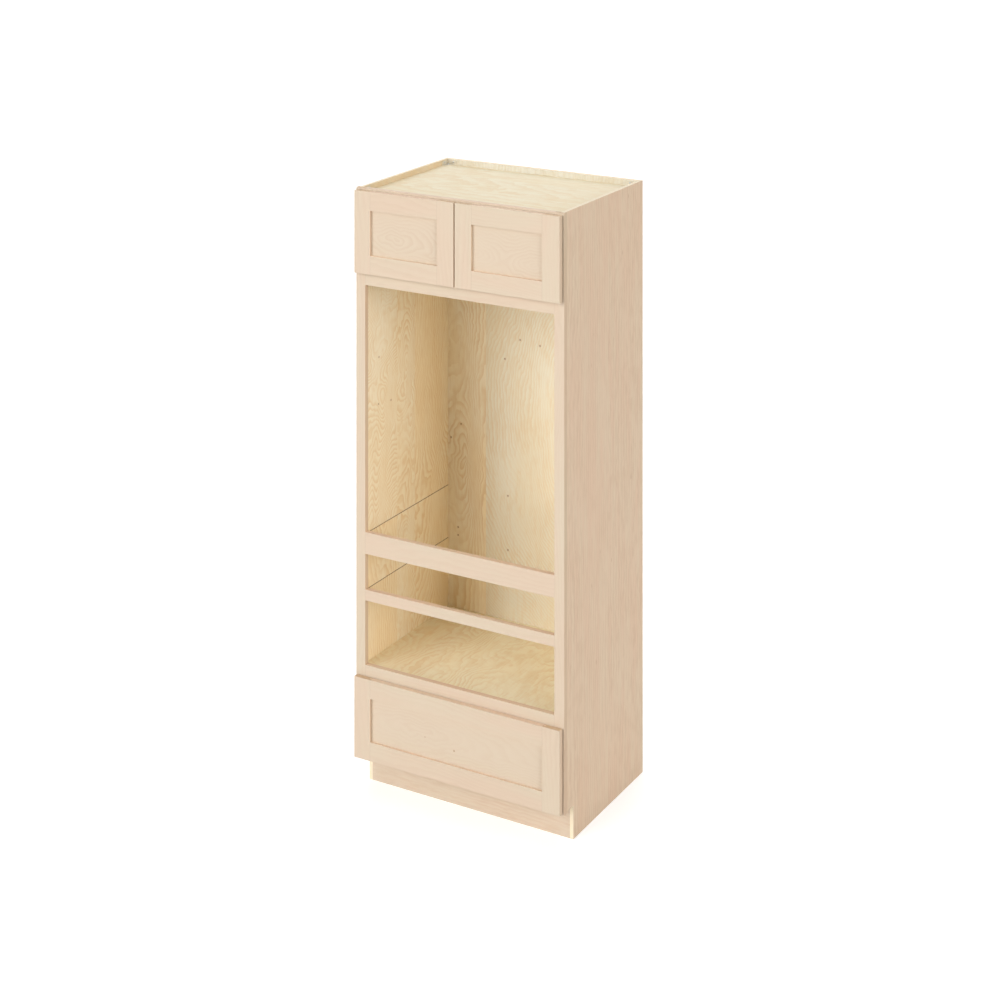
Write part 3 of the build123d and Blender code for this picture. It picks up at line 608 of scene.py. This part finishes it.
def softMaterial(name, tone, shade, roughness, grainScale, bump):
    material, tree, shader = newMaterial(name)
    coords = tree.nodes.new("ShaderNodeTexCoord")
    pits = noise(tree, coords.outputs["Object"], grainScale, 3.0)
    clouds = noise(tree, coords.outputs["Object"], softGrain["cloudScale"])
    plug(tree, shader.inputs["Base Color"], blendColors(tree, clouds, tone, shade))
    rougher = roughness + softGrain["rougher"]
    plug(tree, shader.inputs["Roughness"], ramp(tree, pits, roughness, rougher, *middleOfNoise))
    addBump(tree, shader, pits, bump, softGrain["bumpDepth"])
    return material


zincSteel = steelMaterial("zincSteel", paint(205, 207, 208), roughness=0.34, brushed=(1, 0.02, 1))
nickelSteel = steelMaterial("nickelSteel", paint(216, 214, 208), roughness=0.26, brushed=(1, 1, 0.05))
paleRubber = softMaterial("paleRubber", paint(226, 224, 217), paint(214, 211, 202), 0.45, grainScale=500, bump=0.1)
# the brace plastic is darkened towards tan-grey: its own tone, and partly painted shade of the corners above the top
# panel
bracePlastic = softMaterial("bracePlastic", paint(219, 210, 190), paint(208, 198, 176), 0.5, grainScale=700, bump=0.12)
for node in nodes:
    if "slide" in node:
        dress(node, zincSteel)
    elif "hinge_" in node and "stile" not in node or node == "drawer_front_screws":
        dress(node, nickelSteel)
dress("bumpers", paleRubber)
dress("corner_braces", bracePlastic)
print("fittings dressed")


# Screws that show when a door or the drawer is open, and those of the corner braces

# shares of the head's own radius and height; 12 sides leave one vertex for each corner of the cross
screwHead = {"sides": 12, "rounding": 0.4, "roundingSteps": 3, "crossReach": 0.55, "crossDepth": 0.55}


def vertsOf(geometry):
    return [part for part in geometry if isinstance(part, bmesh.types.BMVert)]


def makeScrewHead():
    head = bmesh.new()
    halfSide = math.pi / screwHead["sides"]
    turned = Matrix.Rotation(halfSide, 4, "Z")
    bmesh.ops.create_circle(head, cap_ends=True, segments=screwHead["sides"], radius=1, matrix=turned)
    grown = bmesh.ops.extrude_face_region(head, geom=head.faces[:])["geom"]
    bmesh.ops.translate(head, vec=(0, 0, 1), verts=vertsOf(grown))
    topEdges = [edge for edge in head.edges if all(v.co.z > 0.5 for v in edge.verts)]
    bmesh.ops.bevel(
        head, geom=topEdges, offset=screwHead["rounding"], segments=screwHead["roundingSteps"], profile=0.5,
        affect="EDGES", material=-1,
    )
    top = max(head.faces, key=lambda face: face.calc_center_median().z)
    flat = max(v.co.xy.length for v in top.verts)
    bmesh.ops.inset_region(head, faces=[top], thickness=(flat - screwHead["crossReach"]) * math.cos(halfSide))
    top = max(head.faces, key=lambda face: (round(face.calc_center_median().z, 4), len(face.verts)))
    for vertex in top.verts:
        onDiagonal = math.isclose(abs(vertex.co.x), abs(vertex.co.y), abs_tol=0.01)
        if onDiagonal:
            vertex.co.xy *= math.sin(halfSide) * math.sqrt(2)  # an inner corner of the cross
    sunk = bmesh.ops.extrude_face_region(head, geom=[top])["geom"]
    bmesh.ops.translate(head, vec=(0, 0, -screwHead["crossDepth"]), verts=vertsOf(sunk))
    bmesh.ops.delete(head, geom=[top], context="FACES_ONLY")  # opens the cross
    bmesh.ops.recalc_face_normals(head, faces=head.faces)
    data = bpy.data.meshes.new("screwHead")
    head.to_mesh(data)
    head.free()
    return data


screwHeadData = makeScrewHead()


def addScrewHead(mesh, spot, outward, radius, rise):
    # stands on the surface at spot, in millimetres
    before = len(mesh.verts)
    mesh.from_mesh(screwHeadData)
    mesh.verts.ensure_lookup_table()
    place = Matrix.Translation(mm(*spot)) @ Vector(outward).to_track_quat("Z", "Y").to_matrix().to_4x4()
    place = place @ Matrix.Diagonal((*mm(radius, radius, rise), 1))
    bmesh.ops.transform(mesh, matrix=place, verts=mesh.verts[before:])


sharpFrom = math.radians(38)


def addPiece(name, mesh, material, body):
    data = bpy.data.meshes.new(name)
    mesh.to_mesh(data)
    mesh.free()
    data.shade_smooth()
    data.set_sharp_from_angle(angle=sharpFrom)
    data.materials.append(material)
    piece = bpy.data.objects.new(name, data)
    bpy.context.scene.collection.objects.link(piece)
    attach(piece, body)


hinge = {
    "heights": (1911.35, 2051.05), "screwX": 381.75, "screwSpread": 24, "flangeY": -295.875,
    "plateX": 379.4, "plateY": -284.175, "headRadius": 3.2, "headRise": 1.3,
    "adjusterRadius": 2.6, "adjusterRise": 1.2,
}
for side, sign in (("left", -1), ("right", 1)):
    cupScrews = bmesh.new()
    adjusters = bmesh.new()
    for z in hinge["heights"]:
        for up in (-hinge["screwSpread"], hinge["screwSpread"]):
            spot = (sign * hinge["screwX"], hinge["flangeY"], z + up)
            addScrewHead(cupScrews, spot, (0, 1, 0), hinge["headRadius"], hinge["headRise"])
        spot = (sign * hinge["plateX"], hinge["plateY"], z)
        addScrewHead(adjusters, spot, (-sign, 0, 0), hinge["adjusterRadius"], hinge["adjusterRise"])
    addPiece(f"{side}_cup_screws", cupScrews, nickelSteel, f"{side}_door")
    addPiece(f"{side}_hinge_adjusters", adjusters, nickelSteel, "carcass")

slide = {
    "height": 241.3, "webX": 369.5, "places": (-262, -120, 60, 205), "runnerRadius": 3.4, "runnerRise": 1.2,
    "footX": 391.5, "footY": 295.375, "footSpread": 9, "footRadius": 3.2, "footRise": 1.8,
}
runnerScrews = bmesh.new()
bracketScrews = bmesh.new()
for sign in (-1, 1):
    for y in slide["places"]:
        spot = (sign * slide["webX"], y, slide["height"])
        addScrewHead(runnerScrews, spot, (sign, 0, 0), slide["runnerRadius"], slide["runnerRise"])
    for up in (-slide["footSpread"], slide["footSpread"]):
        spot = (sign * slide["footX"], slide["footY"], slide["height"] + up)
        addScrewHead(bracketScrews, spot, (0, -1, 0), slide["footRadius"], slide["footRise"])
addPiece("slide_runner_screws", runnerScrews, zincSteel, "drawer")
addPiece("slide_bracket_screws", bracketScrews, zincSteel, "carcass")

brace = {
    "cornerX": 400.05, "corners": ((-274.625, 1), (296.875, -1)), "floor": 2113.6, "wall": 2.5,
    "screwUp": 10, "screwOut": 28, "webScrew": 12, "headRadius": 3.2, "headRise": 1.8,
}
braceScrews = bmesh.new()
for x in (-brace["cornerX"], brace["cornerX"]):
    toMiddle = math.copysign(1, -x)
    for y, inward in brace["corners"]:
        for right, deep, up, outward in (
            (brace["wall"], brace["screwOut"], brace["screwUp"], (toMiddle, 0, 0)),
            (brace["screwOut"], brace["wall"], brace["screwUp"], (0, inward, 0)),
            (brace["webScrew"], brace["webScrew"], brace["wall"], (0, 0, 1)),
        ):
            spot = (x + toMiddle * right, y + inward * deep, brace["floor"] + up)
            addScrewHead(braceScrews, spot, outward, brace["headRadius"], brace["headRise"])
addPiece("corner_brace_screws", braceScrews, zincSteel, "carcass")
bpy.data.meshes.remove(screwHeadData)
print("screws set")


# Studio

def showsWhite(tree):
    # 1 for what the camera sees directly or in a gloss, 0 for the light that falls on the object
    path = tree.nodes.new("ShaderNodeLightPath")
    seen = sums(tree, "MAXIMUM", path.outputs["Is Camera Ray"], path.outputs["Is Glossy Ray"])
    return sums(tree, "MAXIMUM", seen, path.outputs["Is Transmission Ray"])


studio = {
    "floorSize": 60.0,
    "floorTone": (232, 232, 231),
    "floorRoughness": 0.9,
    "floorGlow": 0.5,
    "skyStrength": 0.12,
    "suns": {
        "leftSun": dict(heading=-25, height=15, strength=2.4, angle=45),
        "rightSun": dict(heading=65, height=15, strength=1.2, angle=35),
        "sideSun": dict(heading=100, height=20, strength=0.5, angle=35),
        "backSun": dict(heading=200, height=35, strength=1.0, angle=40),
        "topSun": dict(heading=0, height=88, strength=0.58, angle=60),
    },
}

world = bpy.data.worlds.new("studioWorld")
bpy.context.scene.world = world
world.use_nodes = True
skyTree = world.node_tree
sky = skyTree.nodes["Background"]
plug(skyTree, sky.inputs["Strength"], ramp(skyTree, showsWhite(skyTree), studio["skyStrength"], 1.0))
sky.inputs["Color"].default_value = (1, 1, 1, 1)

floorMesh = bmesh.new()
bmesh.ops.create_grid(floorMesh, x_segments=1, y_segments=1, size=studio["floorSize"] / 2)
floorData = bpy.data.meshes.new("studioFloor")
floorMesh.to_mesh(floorData)
floorMesh.free()
floor = bpy.data.objects.new("studioFloor", floorData)
bpy.context.scene.collection.objects.link(floor)
floorPaint, floorTree, floorShader = newMaterial("studioFloorPaint")
floorShader.inputs["Base Color"].default_value = paint(*studio["floorTone"])
floorShader.inputs["Roughness"].default_value = studio["floorRoughness"]
floorShader.inputs["Specular IOR Level"].default_value = 0.0
floorShader.inputs["Emission Color"].default_value = (1, 1, 1, 1)
floorLight = ramp(floorTree, showsWhite(floorTree), 0.0, studio["floorGlow"])
plug(floorTree, floorShader.inputs["Emission Strength"], floorLight)
floorData.materials.append(floorPaint)

for name, sun in studio["suns"].items():
    lamp = bpy.data.lights.new(name, "SUN")
    lamp.energy = sun["strength"]
    lamp.angle = math.radians(sun["angle"])
    holder = bpy.data.objects.new(name, lamp)
    heading, height = math.radians(sun["heading"]), math.radians(sun["height"])
    level = math.cos(height)
    toward = Vector((math.sin(heading) * level, -math.cos(heading) * level, math.sin(height)))
    holder.rotation_euler = toward.to_track_quat("Z", "Y").to_euler()
    bpy.context.scene.collection.objects.link(holder)

# focal is in pixels of a picture this wide
viewpoint = {
    "place": (3.7195, -6.4506, 3.7164), "heading": 29.962, "pitch": 20.008, "focal": 2217.4, "picture": 1000,
}
lean = math.radians(viewpoint["pitch"])
cameraStand = bpy.data.objects.new("cameraStand", None)
cameraStand.location = viewpoint["place"]
cameraStand.rotation_euler = (math.pi / 2 - lean, 0, math.radians(viewpoint["heading"]))
bpy.context.scene.collection.objects.link(cameraStand)

cameraData = bpy.data.cameras.new("viewCamera")
cameraData.lens = viewpoint["focal"] / viewpoint["picture"] * cameraData.sensor_width
camera = bpy.data.objects.new("viewCamera", cameraData)
bpy.context.scene.collection.objects.link(camera)
camera.parent = cameraStand
# the picture plane leans back upright, so uprights stay parallel
camera.matrix_parent_inverse = Matrix(
    ((1, 0, 0, 0), (0, math.cos(lean), 0, 0), (0, math.sin(lean), 1, 0), (0, 0, 0, 1))
)
bpy.context.scene.camera = camera
bpy.context.scene.view_settings.view_transform = "Standard"
print("studio ready")
